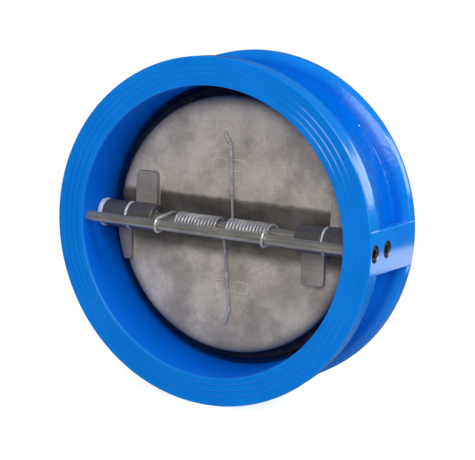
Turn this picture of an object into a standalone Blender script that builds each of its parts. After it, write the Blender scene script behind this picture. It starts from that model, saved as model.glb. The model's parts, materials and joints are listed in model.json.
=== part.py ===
"""Dual-plate wafer check valve, DN200 (8 in) PN16, as separate pieces.

Frame: the origin is on the pipe axis, midway between the two gasket faces. +Y is the inlet side,
-Y the outlet side, X runs along the two pins and +Z is up. The plates are closed.
Everything is in metres.
"""

import math

import bmesh
import bpy
from mathutils import Matrix, Vector

MM = 0.001
GAP = 0.3 * MM                        # clearance between pieces that touch

# Driving sizes
FACE_TO_FACE = 89 * MM
OUTER_RADIUS = 136.5 * MM
OUTLET_BORE_RADIUS = 114 * MM
INLET_BORE_RADIUS = 97 * MM
PLATE_RADIUS = 103 * MM
HINGE_DEPTH = 32 * MM                 # hinge pin axis, behind the outlet face
STOP_DEPTH = 9 * MM                   # stop pin axis, behind the outlet face
HINGE_PIN_RADIUS = 5 * MM
STOP_PIN_RADIUS = 4 * MM

HALF_LENGTH = FACE_TO_FACE / 2
HINGE_Y = HINGE_DEPTH - HALF_LENGTH
STOP_Y = STOP_DEPTH - HALF_LENGTH
RING_STEPS = 72
ROUND_STEPS = 24

# Plate, measured from the hinge axis: "back" is towards the inlet, "out" is away from the axis
PLATE_FACE_BACK = 7.5 * MM
PLATE_SEAT_BACK = 20 * MM
PLATE_EDGE_OUT = 1.2 * MM
PLATE_EDGE_BACK = 17.5 * MM           # where the sloping strip meets the straight edge
STRIP_OUT = 19.5 * MM                 # where the sloping strip meets the flat face
PLATE_RIM_ROUND = 4 * MM
PAD_BACK = 2 * MM
PAD_OUT = 37.5 * MM
PAD_ROUND = 3.5 * MM
PAD_TRIM_RADIUS = 101 * MM
BARREL_RADIUS = 11 * MM
INNER_KNUCKLE = (63.5 * MM, 85.8 * MM)
OUTER_KNUCKLE = (87.9 * MM, 109 * MM)
INNER_PAD = (65 * MM, 84.5 * MM)

# Bushes, washers, pins and plugs
BUSH_INNER_RADIUS = HINGE_PIN_RADIUS + GAP
BUSH_OUTER_RADIUS = 6.7 * MM
INNER_BUSH = (INNER_KNUCKLE[0] + 1.5 * MM, INNER_KNUCKLE[1])
KNUCKLE_BORE_RADIUS = BUSH_OUTER_RADIUS + GAP
THIN_WASHER_RADIUS = 11.3 * MM
THRUST_WASHER_RADIUS = 11.5 * MM
THRUST_WASHER_END = 113 * MM
PIN_END = 126.7 * MM
PLUG_HOLE_START = 127 * MM
PLUG_HOLE_RADIUS = 6.3 * MM
PLUG_RADIUS = 6 * MM
PLUG_SPAN = (129 * MM, 135.8 * MM)
SEAL_SPAN = (127.3 * MM, 128.7 * MM)
SOCKET_ACROSS_FLATS = 6 * MM
SOCKET_DEPTH = 4.5 * MM

# Body casting
GROOVE_RADII = (119.5 * MM, 124.3 * MM, 129.1 * MM)
GROOVE_HALF_WIDTH = 0.5 * MM
GROOVE_DEPTH = 0.5 * MM
RIM_CHAMFER = 1 * MM
SHOULDER_DEPTH = 57.6 * MM            # the seat's shoulder, behind the outlet face
SHOULDER_STEP_RADIUS = 110.5 * MM     # the seat lies inside this step
SHOULDER_STEP_DEPTH = 56.3 * MM
SHOULDER_CHAMFER_DEPTH = 53 * MM
POCKET_MARGIN = 3.5 * MM              # how far the pocket cutter stands proud of the rims
POCKET_DEPTHS = (14.5 * MM, 74.5 * MM)
POCKET_WALL_DEPTH = 79.5 * MM         # top of the steep rear wall, behind the outlet face
POCKET_FLOOR_RADIUS = 124 * MM
POCKET_FLOOR_STEPS = 6
POCKET_CORNER = 1.5 * MM
BOSS_HALF_HEIGHT = 17.5 * MM
WEB_HALF_HEIGHT = 11.5 * MM
WEB_NOSE_HALF_HEIGHT = 5 * MM
WEB_DEPTHS = (57.8 * MM, 70 * MM, 82 * MM)
WEB_HALF_LENGTH = 101 * MM
SEAT_RADII = (96.5 * MM, 110.2 * MM)
SEAT_DEPTHS = (52.3 * MM, 57.3 * MM)
SEAT_BAR_HALF_HEIGHT = 10.5 * MM

# Torsion springs, measured from their own middle place; both stand a little left of it
WIRE_RADIUS = 1.2 * MM
COIL_RADIUS = 7 * MM
COIL_TURNS = 12.6
COIL_SPAN = (4 * MM, 41 * MM)
COIL_POINTS_PER_TURN = 10
LEAD_TURNS = 0.65                     # the stretched last part of a turn, from the coil to the hook
HOOK_X = 46.8 * MM
HOOK_RADIUS = STOP_PIN_RADIUS + GAP + WIRE_RADIUS
HOOK_POINTS = 10
HOOK_TAIL = 4 * MM
SPRING_OFFSET_X = -1.8 * MM
LEG_BACK = PLATE_FACE_BACK - GAP - WIRE_RADIUS
# Long leg of each spring as (x, back from the hinge axis, out from it), from the coil to the bent tip
UPPER_LEG = (
    (2 * MM, COIL_RADIUS, 3 * MM),
    (1.5 * MM, LEG_BACK, STRIP_OUT - 2 * MM),
    (-1.5 * MM, LEG_BACK, 64 * MM),
    (-3 * MM, LEG_BACK, 66.5 * MM),
    (-7 * MM, LEG_BACK, 74 * MM),
)
LOWER_LEG = (
    (-5.6 * MM, COIL_RADIUS, 3 * MM),
    (-4 * MM, LEG_BACK, STRIP_OUT - 2 * MM),
    (1.5 * MM, LEG_BACK, 65 * MM),
    (1.2 * MM, LEG_BACK, 68 * MM),
    (-1.8 * MM, LEG_BACK, 79 * MM),
)

# name: (colour, roughness, metallic)
MATERIALS = {
    "blue_paint": ((0.0, 0.17, 0.60), 0.28, 0.0),
    "seat_rubber": ((0.02, 0.02, 0.022), 0.7, 0.0),
    "plate_casting": ((0.30, 0.27, 0.25), 0.55, 0.9),
    "pin_steel": ((0.42, 0.40, 0.37), 0.35, 1.0),
    "spring_steel": ((0.55, 0.55, 0.56), 0.25, 1.0),
    "white_ptfe": ((0.80, 0.81, 0.83), 0.45, 0.0),
    "plug_steel": ((0.05, 0.05, 0.055), 0.45, 0.8),
    "seal_fibre": ((0.35, 0.10, 0.06), 0.7, 0.0),
}


def clear_scene():
    """Empty the scene, so that running the script twice gives the same result."""
    for obj in list(bpy.data.objects):
        bpy.data.objects.remove(obj, do_unlink=True)


def make_material(name):
    """One Principled BSDF material from the table."""
    colour, roughness, metallic = MATERIALS[name]
    material = bpy.data.materials.new(name)
    material.use_nodes = True
    shader = material.node_tree.nodes["Principled BSDF"]
    shader.inputs["Base Color"].default_value = (*colour, 1.0)
    shader.inputs["Roughness"].default_value = roughness
    shader.inputs["Metallic"].default_value = metallic
    material.diffuse_color = (*colour, 1.0)
    return material


def add_object(name, data, collection):
    """Put a mesh or curve into the scene as a named object."""
    obj = bpy.data.objects.new(name, data)
    collection.objects.link(obj)
    return obj


def mesh_from(name, bm):
    """Turn a finished bmesh into a mesh with its faces pointing out."""
    bmesh.ops.recalc_face_normals(bm, faces=bm.faces)
    mesh = bpy.data.meshes.new(name)
    bm.to_mesh(mesh)
    bm.free()
    return mesh


def apply_modifiers(obj):
    """Replace an object's mesh by what its modifiers make of it."""
    bpy.context.view_layer.update()
    evaluated = obj.evaluated_get(bpy.context.evaluated_depsgraph_get())
    mesh = bpy.data.meshes.new_from_object(evaluated)
    obj.modifiers.clear()
    obj.data = mesh


def combine(target, tool, operation):
    """Join a tool to the target or cut it away, then remove the tool."""
    modifier = target.modifiers.new(operation.lower(), "BOOLEAN")
    modifier.operation = operation
    modifier.solver = "EXACT"
    modifier.object = tool
    apply_modifiers(target)
    bpy.data.objects.remove(tool, do_unlink=True)


def turned(name, profile, axis, collection, steps=ROUND_STEPS, closed=True):
    """Turn a (radius, height) profile about the world's X or Y axis.

    The profile runs down its outer side. Height becomes +X, or -Y for a piece about the pipe axis.
    An open profile starts and ends on the axis and gives a solid piece.
    """
    mesh = bpy.data.meshes.new(name)
    count = len(profile)
    edges = [(i, i + 1) for i in range(count - 1)]
    if closed:
        edges.append((count - 1, 0))
    mesh.from_pydata([(radius, 0.0, height) for radius, height in profile], edges, [])
    obj = add_object(name, mesh, collection)
    screw = obj.modifiers.new("turn", "SCREW")
    screw.steps = steps
    screw.render_steps = steps
    screw.use_merge_vertices = True
    screw.merge_threshold = 0.00001
    screw.use_smooth_shade = False
    if axis == "X":
        obj.rotation_euler = (0.0, math.pi / 2, 0.0)
    else:
        obj.rotation_euler = (math.pi / 2, 0.0, 0.0)
    apply_modifiers(obj)
    return obj


def cylinder(name, radius, length, axis, collection, steps=ROUND_STEPS):
    """A plain cylinder about the local X or Y axis, centred on the origin."""
    bm = bmesh.new()
    bmesh.ops.create_cone(bm, cap_ends=True, segments=steps, radius1=radius, radius2=radius, depth=length)
    turn = Matrix.Rotation(math.pi / 2, 3, "Y" if axis == "X" else "X")
    bmesh.ops.rotate(bm, matrix=turn, verts=bm.verts)
    return add_object(name, mesh_from(name, bm), collection)


def prism_along_x(name, outline, x_low, x_high, collection, rounded_corner=0.0):
    """Extrude a (y, z) outline from x_low to x_high.

    With rounded_corner, the edges along Y at the highest z are rounded by that radius.
    """
    bm = bmesh.new()
    face = bm.faces.new([bm.verts.new((x_low, y, z)) for y, z in outline])
    extruded = bmesh.ops.extrude_face_region(bm, geom=[face])
    moved = [item for item in extruded["geom"] if isinstance(item, bmesh.types.BMVert)]
    bmesh.ops.translate(bm, vec=(x_high - x_low, 0.0, 0.0), verts=moved)
    if rounded_corner:
        top = max(z for _, z in outline)
        corners = [edge for edge in bm.edges if is_top_corner(edge, top)]
        bmesh.ops.bevel(bm, geom=corners, offset=rounded_corner, segments=3, profile=0.5, affect="EDGES")
    return add_object(name, mesh_from(name, bm), collection)


def is_top_corner(edge, top):
    """True for an edge along Y whose two ends are at the height top."""
    tolerance = 0.01 * MM
    first, second = (vert.co for vert in edge.verts)
    at_top = abs(first.z - top) < tolerance and abs(second.z - top) < tolerance
    return at_top and abs(first.x - second.x) < tolerance


def ring_profile(inner, outer, low, high, chamfer=0.0):
    """A rectangular (radius, height) section, with its outer corners chamfered."""
    if not chamfer:
        return [(outer, high), (outer, low), (inner, low), (inner, high)]
    return [
        (outer - chamfer, high),
        (outer, high - chamfer),
        (outer, low + chamfer),
        (outer - chamfer, low),
        (inner, low),
        (inner, high),
    ]


def rod_profile(radius, low, high, chamfer):
    """Half section of a solid rod with chamfered ends, from its top centre to its bottom centre."""
    return [
        (0.0, high),
        (radius - chamfer, high),
        (radius, high - chamfer),
        (radius, low + chamfer),
        (radius - chamfer, low),
        (0.0, low),
    ]


def above(depth):
    """Height in a turned body profile of a depth behind the outlet face."""
    return HALF_LENGTH - depth


# ---- valve body and seat --------------------------------------------------------------------

def body_profile():
    """Section of the body ring: outer side from the outlet to the inlet, then back along the bore."""
    outline = [
        (OUTER_RADIUS - RIM_CHAMFER, above(0.0)),
        (OUTER_RADIUS, above(RIM_CHAMFER)),
        (OUTER_RADIUS, above(FACE_TO_FACE - RIM_CHAMFER)),
        (OUTER_RADIUS - RIM_CHAMFER, above(FACE_TO_FACE)),
        (INLET_BORE_RADIUS, above(FACE_TO_FACE)),
        (INLET_BORE_RADIUS, above(SHOULDER_DEPTH)),
        (SHOULDER_STEP_RADIUS, above(SHOULDER_DEPTH)),
        (SHOULDER_STEP_RADIUS, above(SHOULDER_STEP_DEPTH)),
        (OUTLET_BORE_RADIUS, above(SHOULDER_CHAMFER_DEPTH)),
        (OUTLET_BORE_RADIUS, above(0.0)),
    ]
    for radius in GROOVE_RADII:
        outline += [
            (radius - GROOVE_HALF_WIDTH, above(0.0)),
            (radius, above(GROOVE_DEPTH)),
            (radius + GROOVE_HALF_WIDTH, above(0.0)),
        ]
    return outline


def pocket_profile():
    """Section of the outer pocket: a floor that curves down to a steep rear wall."""
    front, back = POCKET_DEPTHS
    outline = [(OUTER_RADIUS + POCKET_MARGIN, above(POCKET_WALL_DEPTH + GAP))]
    outline.append((OUTER_RADIUS, above(POCKET_WALL_DEPTH)))
    outline.append((POCKET_FLOOR_RADIUS + POCKET_CORNER, above(back + POCKET_CORNER)))
    for i in range(POCKET_FLOOR_STEPS, -1, -1):
        share = i / POCKET_FLOOR_STEPS
        sink = (OUTER_RADIUS - POCKET_FLOOR_RADIUS) * (1 - (1 - share) ** 2)
        outline.append((OUTER_RADIUS - sink, above(front + (back - front) * share)))
    outline.append((OUTER_RADIUS + POCKET_MARGIN, above(front - GAP)))
    return outline


def make_pockets(collection):
    """Cutter for the upper and lower outer pockets, which leave a boss between them on each side."""
    pockets = turned("pockets", pocket_profile(), "Y", collection, steps=RING_STEPS)
    bm = bmesh.new()
    bmesh.ops.create_cube(bm, size=2.0)
    reach = OUTER_RADIUS + 2 * POCKET_MARGIN
    bmesh.ops.scale(bm, vec=(reach, HALF_LENGTH, BOSS_HALF_HEIGHT), verts=bm.verts)
    bosses = add_object("bosses", mesh_from("bosses", bm), collection)
    combine(pockets, bosses, "DIFFERENCE")
    return pockets


def make_web(collection):
    """Bar across the inlet bore that backs the plates' straight edges, with a nose upstream."""
    front, middle, back = (depth - HALF_LENGTH for depth in WEB_DEPTHS)
    outline = [
        (front, -WEB_HALF_HEIGHT),
        (middle, -WEB_HALF_HEIGHT),
        (back, -WEB_NOSE_HALF_HEIGHT),
        (back, WEB_NOSE_HALF_HEIGHT),
        (middle, WEB_HALF_HEIGHT),
        (front, WEB_HALF_HEIGHT),
    ]
    return prism_along_x("web", outline, -WEB_HALF_LENGTH, WEB_HALF_LENGTH, collection)


def cut_pin_holes(body, collection):
    """Drill each pin's hole through both walls, and its wider plug holes from outside."""
    plug_hole_length = 2 * (OUTER_RADIUS - PLUG_HOLE_START)
    for pin_y, pin_radius in ((HINGE_Y, HINGE_PIN_RADIUS), (STOP_Y, STOP_PIN_RADIUS)):
        drill = cylinder("drill", pin_radius + GAP, 2 * PLUG_HOLE_START + GAP, "X", collection)
        drill.location.y = pin_y
        combine(body, drill, "DIFFERENCE")
        for side in (-1, 1):
            drill = cylinder("drill", PLUG_HOLE_RADIUS, plug_hole_length, "X", collection)
            drill.location = (side * OUTER_RADIUS, pin_y, 0.0)
            combine(body, drill, "DIFFERENCE")


def make_body(collection):
    """The one-piece casting: ring with outer pockets, web and pin holes."""
    body = turned("valve_body", body_profile(), "Y", collection, steps=RING_STEPS)
    combine(body, make_pockets(collection), "DIFFERENCE")
    combine(body, make_web(collection), "UNION")
    cut_pin_holes(body, collection)
    return body


def make_seat(collection):
    """Rubber ring with a bar across, on the body's shoulder and web."""
    front, back = SEAT_DEPTHS
    inner, outer = SEAT_RADII
    profile = ring_profile(inner, outer, above(back), above(front))
    seat = turned("seat_rubber", profile, "Y", collection, steps=RING_STEPS)
    low, high = front - HALF_LENGTH + GAP / 2, back - HALF_LENGTH - GAP / 2
    half = SEAT_BAR_HALF_HEIGHT
    outline = [(low, -half), (high, -half), (high, half), (low, half)]
    bar_end = (inner + outer) / 2
    combine(seat, prism_along_x("bar", outline, -bar_end, bar_end, collection), "UNION")
    return seat


# ---- plates ---------------------------------------------------------------------------------

def make_half_disc(collection):
    """Half disc with a rounded outer rim and the sloping strip along its straight edge."""
    thickness = PLATE_SEAT_BACK - PLATE_FACE_BACK
    disc = cylinder("upper_plate", PLATE_RADIUS, thickness, "Y", collection, steps=RING_STEPS)
    disc.data.transform(Matrix.Translation((0.0, PLATE_FACE_BACK + thickness / 2, 0.0)))
    bm = bmesh.new()
    bm.from_mesh(disc.data)
    rim = [e for e in bm.edges if all(v.co.y < PLATE_FACE_BACK + GAP for v in e.verts)]
    bmesh.ops.bevel(bm, geom=rim, offset=PLATE_RIM_ROUND, segments=3, profile=0.5, affect="EDGES")
    bm.to_mesh(disc.data)
    bm.free()

    slope = (STRIP_OUT - PLATE_EDGE_OUT) / (PLATE_EDGE_BACK - PLATE_FACE_BACK)
    margin = 5 * MM
    outline = [
        (PLATE_SEAT_BACK + margin, PLATE_EDGE_OUT),
        (PLATE_EDGE_BACK, PLATE_EDGE_OUT),
        (PLATE_FACE_BACK - margin, STRIP_OUT + slope * margin),
        (PLATE_FACE_BACK - margin, -PLATE_RADIUS - margin),
        (PLATE_SEAT_BACK + margin, -PLATE_RADIUS - margin),
    ]
    reach = PLATE_RADIUS + margin
    combine(disc, prism_along_x("strip", outline, -reach, reach, collection), "DIFFERENCE")
    return disc


def make_pad(x_low, x_high, collection):
    """Stop pad and web that join a knuckle barrel to the plate."""
    inside_plate = PLATE_FACE_BACK + 2 * MM
    web_back = PLATE_SEAT_BACK - 1.5 * MM
    outline = [
        (PAD_BACK, PLATE_EDGE_OUT),
        (PAD_BACK, PAD_OUT),
        (inside_plate, PAD_OUT),
        (web_back, STRIP_OUT),
        (web_back, PLATE_EDGE_OUT),
    ]
    pad = prism_along_x("pad", outline, x_low, x_high, collection, rounded_corner=PAD_ROUND)
    trim = cylinder("trim", PAD_TRIM_RADIUS, 4 * PLATE_SEAT_BACK, "Y", collection, steps=RING_STEPS)
    combine(pad, trim, "INTERSECT")
    return pad


def make_upper_plate(collection):
    """One plate, with its origin on the hinge axis: inner knuckle on the left, outer on the right."""
    plate = make_half_disc(collection)
    inner_knuckle, inner_pad = ((-high, -low) for low, high in (INNER_KNUCKLE, INNER_PAD))
    for (x_low, x_high), pad_span in ((inner_knuckle, inner_pad), (OUTER_KNUCKLE, OUTER_KNUCKLE)):
        combine(plate, make_pad(*pad_span, collection), "UNION")
        barrel = cylinder("barrel", BARREL_RADIUS, x_high - x_low, "X", collection)
        barrel.location.x = (x_low + x_high) / 2
        combine(plate, barrel, "UNION")
    bore = cylinder("bore", KNUCKLE_BORE_RADIUS, 3 * OUTER_RADIUS, "X", collection)
    combine(plate, bore, "DIFFERENCE")
    plate.location.y = HINGE_Y
    return plate


def make_lower_plate(upper_plate, collection):
    """The same casting, turned by half a turn about the pipe axis."""
    plate = add_object("lower_plate", upper_plate.data.copy(), collection)
    plate.location = upper_plate.location
    plate.rotation_euler.y = math.pi
    return plate


# ---- pins, bushes, washers and plugs --------------------------------------------------------

def make_pin(name, radius, pin_y, collection):
    """A straight pin through both walls of the body."""
    pin = turned(name, rod_profile(radius, -PIN_END, PIN_END, MM), "X", collection, closed=False)
    pin.location.y = pin_y
    return pin


def make_bush(name, side, span, collection):
    """A plain bush inside one knuckle, on the hinge pin."""
    length = span[1] - span[0]
    profile = ring_profile(BUSH_INNER_RADIUS, BUSH_OUTER_RADIUS, -length / 2, length / 2)
    bush = turned(name, profile, "X", collection)
    bush.location = (side * (span[0] + span[1]) / 2, HINGE_Y, 0.0)
    return bush


def make_washer(name, side, span, radius, collection):
    """A plain washer on the hinge pin."""
    half = (span[1] - span[0]) / 2
    profile = ring_profile(BUSH_INNER_RADIUS, radius, -half, half, chamfer=GAP)
    washer = turned(name, profile, "X", collection)
    washer.location = (side * (span[0] + span[1]) / 2, HINGE_Y, 0.0)
    return washer


def make_plug(name, side, pin_y, collection):
    """A grub screw with a hexagon socket that closes a pin hole."""
    low, high = PLUG_SPAN
    half = (high - low) / 2
    plug = turned(name, rod_profile(PLUG_RADIUS, -half, half, 0.8 * MM), "X", collection, closed=False)
    across_corners = SOCKET_ACROSS_FLATS / math.cos(math.pi / 6)
    socket = cylinder("socket", across_corners / 2, 2 * SOCKET_DEPTH, "X", collection, steps=6)
    socket.location.x = half
    combine(plug, socket, "DIFFERENCE")
    plug.location = (side * (low + high) / 2, pin_y, 0.0)
    if side < 0:
        plug.rotation_euler.y += math.pi
    return plug


def make_seal(name, side, pin_y, collection):
    """The disc between a pin's end and its plug."""
    low, high = SEAL_SPAN
    half = (high - low) / 2
    seal = turned(name, rod_profile(PLUG_RADIUS, -half, half, GAP), "X", collection, closed=False)
    seal.location = (side * (low + high) / 2, pin_y, 0.0)
    return seal


# ---- springs --------------------------------------------------------------------------------

def coil_points():
    """Coil about X, from the long leg's side to the hook's side. It ends below the hinge axis."""
    start, end = COIL_SPAN
    total_turns = COIL_TURNS + LEAD_TURNS
    count = round(total_turns * COIL_POINTS_PER_TURN)
    points = []
    for i in range(count + 1):
        turns = total_turns * i / count
        if turns < COIL_TURNS:
            x = start + (end - start) * turns / COIL_TURNS
        else:
            x = end + (HOOK_X - end) * (turns - COIL_TURNS) / LEAD_TURNS
        angle = -2 * math.pi * turns
        points.append(Vector((x, COIL_RADIUS * math.cos(angle), COIL_RADIUS * math.sin(angle))))
    return points


def hook_points():
    """Short leg: under the stop pin, round its front and back over its top."""
    stop = STOP_Y - HINGE_Y
    points = []
    for i in range(HOOK_POINTS + 1):
        angle = -math.pi / 2 - math.pi * i / HOOK_POINTS
        y = stop + HOOK_RADIUS * math.cos(angle)
        points.append(Vector((HOOK_X, y, HOOK_RADIUS * math.sin(angle))))
    tail = points[-1] + Vector((0.0, HOOK_TAIL, 0.0))
    return points + [tail]


def make_spring(name, leg, side, collection):
    """A torsion spring about the hinge axis. side 1 is the upper plate's, -1 the lower plate's.

    The coil and hook of the lower plate's spring are those of the upper one, after half a turn about Y.
    """
    shift = Vector((SPRING_OFFSET_X, 0.0, 0.0))
    half_turn = Vector((side, 1.0, side))
    wound = [point * half_turn + shift for point in coil_points() + hook_points()]
    points = [Vector((x, back, side * out)) for x, back, out in reversed(leg)] + wound
    curve = bpy.data.curves.new(name, "CURVE")
    curve.dimensions = "3D"
    curve.bevel_depth = WIRE_RADIUS
    curve.bevel_resolution = 2
    curve.use_fill_caps = True
    spline = curve.splines.new("POLY")
    spline.points.add(len(points) - 1)
    for spline_point, place in zip(spline.points, points):
        spline_point.co = (*place, 1.0)
    spring = add_object(name, curve, collection)
    spring.location.y = HINGE_Y
    return spring


# ---- assembly -------------------------------------------------------------------------------

def finish(obj, material):
    """Give a piece its material, and smooth shading between faces that meet at a small angle."""
    obj.data.materials.clear()
    obj.data.materials.append(material)
    if obj.type == "MESH":
        obj.data.shade_smooth()
        obj.data.set_sharp_from_angle(angle=math.radians(30))


def main():
    clear_scene()
    collection = bpy.data.collections.new("wafer_check_valve")
    bpy.context.scene.collection.children.link(collection)
    materials = {name: make_material(name) for name in MATERIALS}

    finish(make_body(collection), materials["blue_paint"])
    finish(make_seat(collection), materials["seat_rubber"])
    upper_plate = make_upper_plate(collection)
    finish(upper_plate, materials["plate_casting"])
    finish(make_lower_plate(upper_plate, collection), materials["plate_casting"])
    finish(make_pin("hinge_pin", HINGE_PIN_RADIUS, HINGE_Y, collection), materials["pin_steel"])
    finish(make_pin("stop_pin", STOP_PIN_RADIUS, STOP_Y, collection), materials["pin_steel"])
    finish(make_spring("upper_plate_spring", UPPER_LEG, 1, collection), materials["spring_steel"])
    finish(make_spring("lower_plate_spring", LOWER_LEG, -1, collection), materials["spring_steel"])

    thin_span = (INNER_KNUCKLE[1] + GAP, OUTER_KNUCKLE[0] - GAP)
    thrust_span = (OUTER_KNUCKLE[1] + GAP, THRUST_WASHER_END)
    for side, side_name in ((-1, "left"), (1, "right")):
        inner_owner, outer_owner = ("upper", "lower") if side < 0 else ("lower", "upper")
        inner_bush = make_bush(f"{inner_owner}_plate_inner_bush", side, INNER_BUSH, collection)
        outer_bush = make_bush(f"{outer_owner}_plate_outer_bush", side, OUTER_KNUCKLE, collection)
        thin = make_washer(f"knuckle_washer_{side_name}", side, thin_span, THIN_WASHER_RADIUS, collection)
        thrust = make_washer(
            f"thrust_washer_{side_name}", side, thrust_span, THRUST_WASHER_RADIUS, collection
        )
        for piece in (inner_bush, outer_bush, thin, thrust):
            finish(piece, materials["white_ptfe"])
        for pin_name, pin_y in (("hinge", HINGE_Y), ("stop", STOP_Y)):
            plug = make_plug(f"{pin_name}_plug_{side_name}", side, pin_y, collection)
            seal = make_seal(f"{pin_name}_plug_seal_{side_name}", side, pin_y, collection)
            finish(plug, materials["plug_steel"])
            finish(seal, materials["seal_fibre"])


main()
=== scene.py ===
"""Looks of the dual-plate wafer check valve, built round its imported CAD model.

Frame: the origin is on the pipe axis, midway between the two gasket faces. +Y is the inlet side,
-Y the outlet side, X runs along the two pins and +Z is up. Everything is in metres.
"""

import json
import math

import bmesh
import bpy
import numpy as np
from mathutils import Matrix, Vector, noise

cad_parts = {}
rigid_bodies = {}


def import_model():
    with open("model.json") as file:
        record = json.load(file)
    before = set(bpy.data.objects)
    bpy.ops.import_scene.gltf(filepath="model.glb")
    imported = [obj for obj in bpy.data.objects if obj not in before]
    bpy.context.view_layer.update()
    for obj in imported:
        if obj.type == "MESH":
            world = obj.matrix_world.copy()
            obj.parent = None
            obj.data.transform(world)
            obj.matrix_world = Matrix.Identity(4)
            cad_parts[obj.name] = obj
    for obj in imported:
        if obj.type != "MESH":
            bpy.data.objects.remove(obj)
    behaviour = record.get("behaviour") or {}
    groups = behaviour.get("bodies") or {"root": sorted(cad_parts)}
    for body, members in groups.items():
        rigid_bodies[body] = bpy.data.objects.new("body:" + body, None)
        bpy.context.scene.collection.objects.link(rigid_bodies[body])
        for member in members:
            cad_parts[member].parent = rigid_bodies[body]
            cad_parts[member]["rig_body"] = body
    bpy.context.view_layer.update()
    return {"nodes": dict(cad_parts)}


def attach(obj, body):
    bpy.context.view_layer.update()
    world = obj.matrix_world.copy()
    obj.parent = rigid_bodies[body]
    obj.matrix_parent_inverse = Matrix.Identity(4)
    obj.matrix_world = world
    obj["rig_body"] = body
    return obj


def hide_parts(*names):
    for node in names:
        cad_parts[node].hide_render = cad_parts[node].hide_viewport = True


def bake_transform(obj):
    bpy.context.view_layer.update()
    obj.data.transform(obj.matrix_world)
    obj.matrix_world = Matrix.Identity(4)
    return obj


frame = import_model()

MM = 0.001

# Sizes shared with the CAD model
FACE_TO_FACE = 89 * MM
HALF_LENGTH = FACE_TO_FACE / 2
OUTER_RADIUS = 136.5 * MM
OUTLET_BORE_RADIUS = 114 * MM
INLET_BORE_RADIUS = 97 * MM
HINGE_Y = 32 * MM - HALF_LENGTH
STOP_Y = 9 * MM - HALF_LENGTH
HINGE_PIN_RADIUS = 5 * MM
STOP_PIN_RADIUS = 4 * MM
GAP = 0.3 * MM
SHOULDER_DEPTH = 57.6 * MM
SHOULDER_STEP_RADIUS = 110.5 * MM
SHOULDER_STEP_DEPTH = 56.3 * MM
SHOULDER_CHAMFER_DEPTH = 53 * MM
PLUG_HOLE_RADIUS = 6.3 * MM
PLUG_HOLE_START = 127 * MM
PLUG_SPAN = (129 * MM, 135.8 * MM)
PLUG_RADIUS = 6 * MM
SOCKET_ACROSS_FLATS = 6 * MM
PIN_END = 126.7 * MM
THIN_WASHER_RADIUS = 11.3 * MM
THRUST_WASHER_RADIUS = 11.5 * MM
THRUST_WASHER_END = 113 * MM
SEAT_DEPTHS = (52.3 * MM, 57.3 * MM)
SEAT_RADII = (96.5 * MM, 110.2 * MM)
SEAT_BAR_HALF_HEIGHT = 10.5 * MM
PLATE_RADIUS = 103 * MM
PLATE_FACE_BACK = 7.5 * MM
PLATE_SEAT_BACK = 20 * MM
PLATE_EDGE_OUT = 1.2 * MM
PLATE_EDGE_BACK = 17.5 * MM
STRIP_OUT = 19.5 * MM
BARREL_RADIUS = 11 * MM
PAD_BACK = 2 * MM
INNER_KNUCKLE = (63.5 * MM, 85.8 * MM)
OUTER_KNUCKLE = (87.9 * MM, 109 * MM)
INNER_PAD = (65 * MM, 84.5 * MM)
BUSH_RADII = (5.3 * MM, 6.7 * MM)
INNER_BUSH = (65 * MM, 85.8 * MM)
KNUCKLE_BORE_RADIUS = 7 * MM

# Body casting
RIM_ROUND = 1.1 * MM
GROOVE_RADII = (119.5 * MM, 124.3 * MM, 129.1 * MM)
GROOVE_HALF_WIDTH = 0.55 * MM
GROOVE_DEPTH = 0.45 * MM
POCKET_DEPTHS = (16.5 * MM, 74.5 * MM)
POCKET_SINK = 12.5 * MM
WEB_HALF_LENGTH = 101 * MM
WEB_FLARE_START = 82 * MM
WEB_FLARE = 7 * MM
WEB_Y = (13.3 * MM, 25.5 * MM, 37.5 * MM)          # front, shoulders, nose
WEB_HALF_HEIGHTS = (11.5 * MM, 5 * MM)             # from front to shoulders, at the nose
PIN_HOLE_START = 105 * MM
POCKET_WALL_SLOPE = 2.5
BOSS_TOP = (16.4 * MM, -0.045)        # height at the pocket's front, and its change per depth
BOSS_BOTTOM = (17.3 * MM, 0.065)
CAST_LUMPS = ((0.20 * MM, 11 * MM), (0.10 * MM, 4.5 * MM))       # (height, size)

# Plugs, seat and plates
THREAD_PITCH = 1.25 * MM
THREAD_DEPTH = 0.55 * MM
SEAT_LIP_RADIUS = 100 * MM
SEAT_BAR_HALF_LENGTH = 103 * MM
PAD_OUT = 37.2 * MM
PAD_TRIM_RADIUS = 101.5 * MM
PAD_FLARE = 0.7 * MM
PLATE_VOXEL = 0.5 * MM
PLATE_LUMPS = ((0.16 * MM, 26 * MM), (0.07 * MM, 5 * MM))
CAST_FRAMES = ((-11.2 * MM, 12.4 * MM), (4.8 * MM, 12.8 * MM))     # (middle X, width)
CAST_FRAME_OUT = 48.9 * MM
CAST_FRAME_HEIGHT = 9 * MM
RIDGE_RADIUS = 0.75 * MM

# Springs, as in the CAD model
WIRE_RADIUS = 1.2 * MM
COIL_RADIUS = 7 * MM
COIL_TURNS = 12.6
COIL_SPAN = (4 * MM, 41 * MM)
LEAD_TURNS = 0.65
HOOK_X = 46.8 * MM
HOOK_RADIUS = STOP_PIN_RADIUS + GAP + WIRE_RADIUS
HOOK_TAIL = 4 * MM
SPRING_OFFSET_X = -1.8 * MM
LEG_BACK = PLATE_FACE_BACK - GAP - WIRE_RADIUS
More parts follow.
